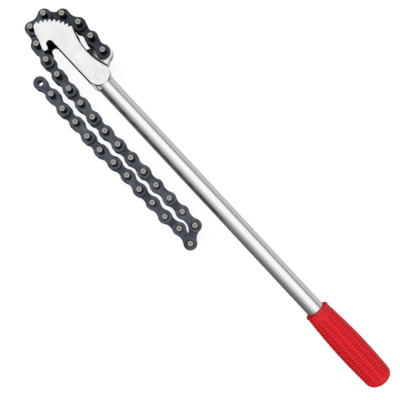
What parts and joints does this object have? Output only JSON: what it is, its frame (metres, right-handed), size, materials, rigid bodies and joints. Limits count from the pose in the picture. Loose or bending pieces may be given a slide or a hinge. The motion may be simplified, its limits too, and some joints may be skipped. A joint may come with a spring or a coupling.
{
  "type": "chain pipe wrench",
  "caption": "Chain pipe wrench: tube handle with a ribbed grip, toothed double jaw with a hook, and a pin chain hinged to a lug, laid round the jaw and doubled beside the handle.",
  "frame": {"origin": "on the tube's axis, where the tube meets the jaw plates' round ends", "axes": "+X along the handle towards the grip, +Z square to the jaw plates, the chain's lug on the +Y side"},
  "size_m": [0.5199, 0.0881, 0.0309],
  "materials": {
    "polished_tube": "polished chrome plate",
    "forged_steel": "plated forging",
    "satin_jaw": "satin nickel plate",
    "blued_plate": "blued steel",
    "bright_pin": "turned steel",
    "red_vinyl": "soft moulded vinyl"
  },
  "bodies": {
    "wrench": {"handle_tube": "polished_tube", "grip": "red_vinyl", "shank": "forged_steel", "front_jaw": "satin_jaw", "rear_jaw": "satin_jaw", "jaw_rivet": "satin_jaw"},
    "outer_link_01": {"outer_link_01_plates": "blued_plate", "outer_link_01_pins": "bright_pin"},
    "inner_link_01": {"inner_link_01": "blued_plate"},
    "outer_link_02": {"outer_link_02_plates": "blued_plate", "outer_link_02_pins": "bright_pin"},
    "inner_link_02": {"inner_link_02": "blued_plate"},
    "outer_link_03": {"outer_link_03_plates": "blued_plate", "outer_link_03_pins": "bright_pin"},
    "inner_link_03": {"inner_link_03": "blued_plate"},
    "outer_link_04": {"outer_link_04_plates": "blued_plate", "outer_link_04_pins": "bright_pin"},
    "inner_link_04": {"inner_link_04": "blued_plate"},
    "outer_link_05": {"outer_link_05_plates": "blued_plate", "outer_link_05_pins": "bright_pin"},
    "inner_link_05": {"inner_link_05": "blued_plate"},
    "outer_link_06": {"outer_link_06_plates": "blued_plate", "outer_link_06_pins": "bright_pin"},
    "inner_link_06": {"inner_link_06": "blued_plate"},
    "outer_link_07": {"outer_link_07_plates": "blued_plate", "outer_link_07_pins": "bright_pin"},
    "inner_link_07": {"inner_link_07": "blued_plate"},
    "outer_link_08": {"outer_link_08_plates": "blued_plate", "outer_link_08_pins": "bright_pin"},
    "inner_link_08": {"inner_link_08": "blued_plate"},
    "outer_link_09": {"outer_link_09_plates": "blued_plate", "outer_link_09_pins": "bright_pin"},
    "inner_link_09": {"inner_link_09": "blued_plate"},
    "outer_link_10": {"outer_link_10_plates": "blued_plate", "outer_link_10_pins": "bright_pin"},
    "inner_link_10": {"inner_link_10": "blued_plate"},
    "outer_link_11": {"outer_link_11_plates": "blued_plate", "outer_link_11_pins": "bright_pin"},
    "inner_link_11": {"inner_link_11": "blued_plate"},
    "outer_link_12": {"outer_link_12_plates": "blued_plate", "outer_link_12_pins": "bright_pin"},
    "inner_link_12": {"inner_link_12": "blued_plate"},
    "outer_link_13": {"outer_link_13_plates": "blued_plate", "outer_link_13_pins": "bright_pin"},
    "inner_link_13": {"inner_link_13": "blued_plate"},
    "outer_link_14": {"outer_link_14_plates": "blued_plate", "outer_link_14_pins": "bright_pin"},
    "inner_link_14": {"inner_link_14": "blued_plate"},
    "outer_link_15": {"outer_link_15_plates": "blued_plate", "outer_link_15_pins": "bright_pin"},
    "inner_link_15": {"inner_link_15": "blued_plate"},
    "outer_link_16": {"outer_link_16_plates": "blued_plate", "outer_link_16_pins": "bright_pin"},
    "inner_link_16": {"inner_link_16": "blued_plate"}
  },
  "joints": [
    {"name": "anchor_pivot", "type": "hinge", "parent": "wrench", "child": "outer_link_01", "pos_m": [-0.0276, 0.0206, 0], "axis": [0, 0, -1], "range_deg": [-4, 0.5]},
    {"name": "link_pivot_01", "type": "hinge", "parent": "outer_link_01", "child": "inner_link_01", "pos_m": [-0.04664, 0.02126, 0], "axis": [0, 0, 1], "range_deg": [-1.5, 3.5]},
    {"name": "link_pivot_02", "type": "hinge", "parent": "inner_link_01", "child": "outer_link_02", "pos_m": [-0.06568, 0.0216, 0], "axis": [0, 0, 1], "range_deg": [-6, 2.5]},
    {"name": "link_pivot_03", "type": "hinge", "parent": "outer_link_02", "child": "inner_link_02", "pos_m": [-0.0837, 0.0154, 0], "axis": [0, 0, -1], "range_deg": [0, 30]},
    {"name": "link_pivot_04", "type": "hinge", "parent": "inner_link_02", "child": "outer_link_03", "pos_m": [-0.09669, 0.00146, 0], "axis": [0, 0, -1], "range_deg": [0, 45]},
    {"name": "link_pivot_05", "type": "hinge", "parent": "outer_link_03", "child": "inner_link_03", "pos_m": [-0.09569, -0.01756, 0], "axis": [0, 0, -1], "range_deg": [0, 65]},
    {"name": "link_pivot_06", "type": "hinge", "parent": "inner_link_03", "child": "outer_link_04", "pos_m": [-0.07816, -0.025, 0], "axis": [0, 0, -1], "range_deg": [-2, 30]},
    {"name": "link_pivot_07", "type": "hinge", "parent": "outer_link_04", "child": "inner_link_04", "pos_m": [-0.05946, -0.02864, 0], "axis": [0, 0, -1], "range_deg": [-2, 30]},
    {"name": "link_pivot_08", "type": "hinge", "parent": "inner_link_04", "child": "outer_link_05", "pos_m": [-0.04051, -0.03063, 0], "axis": [0, 0, -1], "range_deg": [-2, 20]},
    {"name": "link_pivot_09", "type": "hinge", "parent": "outer_link_05", "child": "inner_link_05", "pos_m": [-0.02151, -0.03196, 0], "axis": [0, 0, 1], "range_deg": [-10, 3]},
    {"name": "link_pivot_10", "type": "hinge", "parent": "inner_link_05", "child": "outer_link_06", "pos_m": [-0.00248, -0.03296, 0], "axis": [0, 0, 1], "range_deg": [-6, 4]},
    {"name": "link_pivot_11", "type": "hinge", "parent": "outer_link_06", "child": "inner_link_06", "pos_m": [0.01654, -0.03395, 0], "axis": [0, 0, 1], "range_deg": [-3, 4]},
    {"name": "link_pivot_12", "type": "hinge", "parent": "inner_link_06", "child": "outer_link_07", "pos_m": [0.03559, -0.03429, 0], "axis": [0, 0, 1], "range_deg": [-2, 5]},
    {"name": "link_pivot_13", "type": "hinge", "parent": "outer_link_07", "child": "inner_link_07", "pos_m": [0.05463, -0.03395, 0], "axis": [0, 0, 1], "range_deg": [-1, 6]},
    {"name": "link_pivot_14", "type": "hinge", "parent": "inner_link_07", "child": "outer_link_08", "pos_m": [0.07368, -0.03362, 0], "axis": [0, 0, 1], "range_deg": [-1, 8]},
    {"name": "link_pivot_15", "type": "hinge", "parent": "outer_link_08", "child": "inner_link_08", "pos_m": [0.09273, -0.03362, 0], "axis": [0, 0, 1], "range_deg": [0, 10]},
    {"name": "link_pivot_16", "type": "hinge", "parent": "inner_link_08", "child": "outer_link_09", "pos_m": [0.11178, -0.03362, 0], "axis": [0, 0, 1], "range_deg": [0, 14]},
    {"name": "link_pivot_17", "type": "hinge", "parent": "outer_link_09", "child": "inner_link_09", "pos_m": [0.13082, -0.03296, 0], "axis": [0, 0, 1], "range_deg": [0, 20]},
    {"name": "link_pivot_18", "type": "hinge", "parent": "inner_link_09", "child": "outer_link_10", "pos_m": [0.14987, -0.03262, 0], "axis": [0, 0, 1], "range_deg": [0, 45]},
    {"name": "link_pivot_19", "type": "hinge", "parent": "outer_link_10", "child": "inner_link_10", "pos_m": [0.16892, -0.03262, 0], "axis": [0, 0, 1], "range_deg": [0, 90]},
    {"name": "link_pivot_20", "type": "hinge", "parent": "inner_link_10", "child": "outer_link_11", "pos_m": [0.17929, -0.0486, 0], "axis": [0, 0, -1], "range_deg": [-135, 0]},
    {"name": "link_pivot_21", "type": "hinge", "parent": "outer_link_11", "child": "inner_link_11", "pos_m": [0.16035, -0.04661, 0], "axis": [0, 0, 1], "range_deg": [0, 36]},
    {"name": "link_pivot_22", "type": "hinge", "parent": "inner_link_11", "child": "outer_link_12", "pos_m": [0.14144, -0.04893, 0], "axis": [0, 0, 1], "range_deg": [0, 36]},
    {"name": "link_pivot_23", "type": "hinge", "parent": "outer_link_12", "child": "inner_link_12", "pos_m": [0.12239, -0.0486, 0], "axis": [0, 0, -1], "range_deg": [-36, 0]},
    {"name": "link_pivot_24", "type": "hinge", "parent": "inner_link_12", "child": "outer_link_13", "pos_m": [0.10335, -0.04926, 0], "axis": [0, 0, 1], "range_deg": [0, 36]},
    {"name": "link_pivot_25", "type": "hinge", "parent": "outer_link_13", "child": "inner_link_13", "pos_m": [0.08432, -0.0486, 0], "axis": [0, 0, 1], "range_deg": [0, 36]},
    {"name": "link_pivot_26", "type": "hinge", "parent": "inner_link_13", "child": "outer_link_14", "pos_m": [0.06529, -0.0496, 0], "axis": [0, 0, -1], "range_deg": [-36, 0]},
    {"name": "link_pivot_27", "type": "hinge", "parent": "outer_link_14", "child": "inner_link_14", "pos_m": [0.04631, -0.05126, 0], "axis": [0, 0, 1], "range_deg": [0, 36]},
    {"name": "link_pivot_28", "type": "hinge", "parent": "inner_link_14", "child": "outer_link_15", "pos_m": [0.02726, -0.05126, 0], "axis": [0, 0, 1], "range_deg": [0, 36]},
    {"name": "link_pivot_29", "type": "hinge", "parent": "outer_link_15", "child": "inner_link_15", "pos_m": [0.00824, -0.05026, 0], "axis": [0, 0, -1], "range_deg": [-36, 0]},
    {"name": "link_pivot_30", "type": "hinge", "parent": "inner_link_15", "child": "outer_link_16", "pos_m": [-0.01081, -0.05059, 0], "axis": [0, 0, 1], "range_deg": [0, 36]},
    {"name": "link_pivot_31", "type": "hinge", "parent": "outer_link_16", "child": "inner_link_16", "pos_m": [-0.02978, -0.04893, 0], "axis": [0, 0, 1], "range_deg": [0, 36]}
  ]
}
